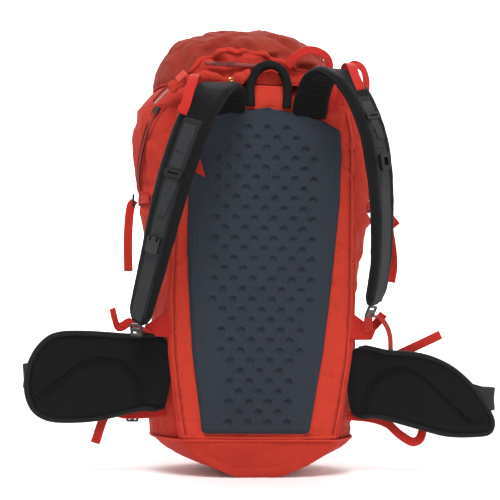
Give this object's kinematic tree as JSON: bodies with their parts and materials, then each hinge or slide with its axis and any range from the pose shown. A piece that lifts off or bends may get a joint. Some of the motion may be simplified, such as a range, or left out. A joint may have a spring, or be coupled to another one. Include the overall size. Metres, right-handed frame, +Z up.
{
  "type": "hiking backpack",
  "caption": "Top-loading framed hiking backpack: packbag with floating lid, dimpled back pad, padded shoulder straps, load lifters, sternum strap and swinging hip belt wings.",
  "frame": {"origin": "Middle of the flat foot that the pack stands on.", "axes": "+Z up; -Y towards the wearer's side (back panel, straps and belt); +X to the right as seen facing the back panel."},
  "size_m": [0.7848, 0.3855, 0.748],
  "materials": {
    "red_panel": "coated nylon packcloth with a fine grid weave",
    "red_border": "red nylon border cloth",
    "lid_cloth": "darker red coated nylon",
    "red_web": "bright red woven webbing",
    "back_mesh": "dark blue-grey knit over foam, with a field of dimples",
    "black_pad": "black knit over foam, bound edges",
    "dark_web": "dark grey webbing",
    "lining": "grey lining cloth",
    "black_buckle": "black moulded acetal",
    "zip": "red coil zip and tape",
    "zip_metal": "dark cast zip slider",
    "cord": "thin cord with a pale tracer",
    "red_plastic": "red moulded grip",
    "frame_plastic": "thin polyethylene sheet",
    "stay_metal": "flat aluminium bar"
  },
  "bodies": {
    "pack": {"back_border": "red_border", "back_pad": "back_mesh", "frame_sheet": "frame_plastic", "frame_stays": "stay_metal", "inner_wall": "lining", "hydration_sleeve": "lining", "side_panel_left": "red_panel", "side_panel_right": "red_panel", "front_panel": "red_panel", "base_panel": "red_panel", "collar": "red_panel", "collar_drawcord": "cord", "side_straps": "red_web", "web_locks": "black_buckle", "upper_tails": "red_web", "lower_tails": "red_web", "anchor_tabs": "red_border", "base_straps": "red_web", "daisy_chain": "red_web", "axe_loops": "red_web", "lid_buckle_catches": "black_buckle", "front_straps": "red_web", "lid_anchors": "red_web", "lifter_tail": "red_web", "side_zip": "zip"},
    "lid": {"lid_shell": "lid_cloth", "lid_floor": "lid_cloth", "lid_zip": "zip", "lid_straps": "red_web", "lid_buckle_tongues": "black_buckle", "lid_rear_tail": "red_web"},
    "lid_slider": {"lid_zip_slider": "zip_metal"},
    "haul_loop": {"haul_loop": "black_pad"},
    "side_slider": {"side_zip_slider": "zip_metal", "zip_cord_a": "cord", "zip_cord_b": "cord", "zip_grip": "red_plastic"},
    "shoulder_left": {"shoulder_pad_left": "black_pad", "shoulder_web_left": "dark_web", "shoulder_lock_left": "black_buckle", "lower_web_left": "red_web", "load_lifter_left": "red_web"},
    "shoulder_right": {"shoulder_pad_right": "black_pad", "shoulder_web_right": "dark_web", "shoulder_lock_right": "black_buckle", "lower_web_right": "red_web", "load_lifter_right": "red_web"},
    "sternum_left": {"sternum_clip_left": "black_buckle", "sternum_web_left": "dark_web", "sternum_tongue": "black_buckle"},
    "sternum_right": {"sternum_clip_right": "black_buckle", "sternum_web_right": "dark_web", "sternum_catch": "black_buckle"},
    "hip_left": {"hip_wing_left": "black_pad", "hip_web_left": "dark_web"},
    "hip_right": {"hip_wing_right": "black_pad", "hip_web_right": "dark_web"},
    "hip_tongue": {"hip_buckle_tongue": "black_buckle"},
    "hip_catch": {"hip_buckle_catch": "black_buckle"}
  },
  "joints": [
    {"name": "lid_hinge", "type": "hinge", "parent": "pack", "child": "lid", "pos_m": [0, -0.108, 0.68], "axis": [1, 0, 0], "range_deg": [0, 100]},
    {"name": "lid_zip_slide", "type": "slide", "parent": "lid", "child": "lid_slider", "axis": [1, 0, 0], "range_m": [0, 0.03]},
    {"name": "haul_loop_swing", "type": "hinge", "parent": "pack", "child": "haul_loop", "pos_m": [0, -0.0995, 0.603], "axis": [1, 0, 0], "range_deg": [0, 80]},
    {"name": "side_zip_slide", "type": "slide", "parent": "pack", "child": "side_slider", "axis": [-0.363, 0.2806, -0.8885], "range_m": [0, 0.04]},
    {"name": "shoulder_left_swing", "type": "hinge", "parent": "pack", "child": "shoulder_left", "pos_m": [-0.065, -0.1, 0.596], "axis": [-1, 0, 0], "range_deg": [0, 18]},
    {"name": "shoulder_right_swing", "type": "hinge", "parent": "pack", "child": "shoulder_right", "pos_m": [0.069, -0.1, 0.596], "axis": [-1, 0, 0], "range_deg": [0, 18]},
    {"name": "sternum_left_slide", "type": "slide", "parent": "shoulder_left", "child": "sternum_left", "axis": [-0.211, 0.1407, -0.9673], "range_m": [-0.005, 0.005]},
    {"name": "sternum_right_slide", "type": "slide", "parent": "shoulder_right", "child": "sternum_right", "axis": [0.3366, -0.1122, -0.9349], "range_m": [-0.005, 0.005]},
    {"name": "hip_wing_left_swing", "type": "hinge", "parent": "pack", "child": "hip_left", "pos_m": [-0.157, -0.0845, 0.16], "axis": [0, 0, 1], "range_deg": [0, 80]},
    {"name": "hip_wing_right_swing", "type": "hinge", "parent": "pack", "child": "hip_right", "pos_m": [0.157, -0.0845, 0.15], "axis": [0, 0, -1], "range_deg": [0, 80]},
    {"name": "hip_tongue_slide", "type": "slide", "parent": "hip_left", "child": "hip_tongue", "axis": [1, 0, 0], "range_m": [0, 0.04]},
    {"name": "hip_catch_slide", "type": "slide", "parent": "hip_right", "child": "hip_catch", "axis": [-1, 0, 0], "range_m": [0, 0.04]}
  ]
}
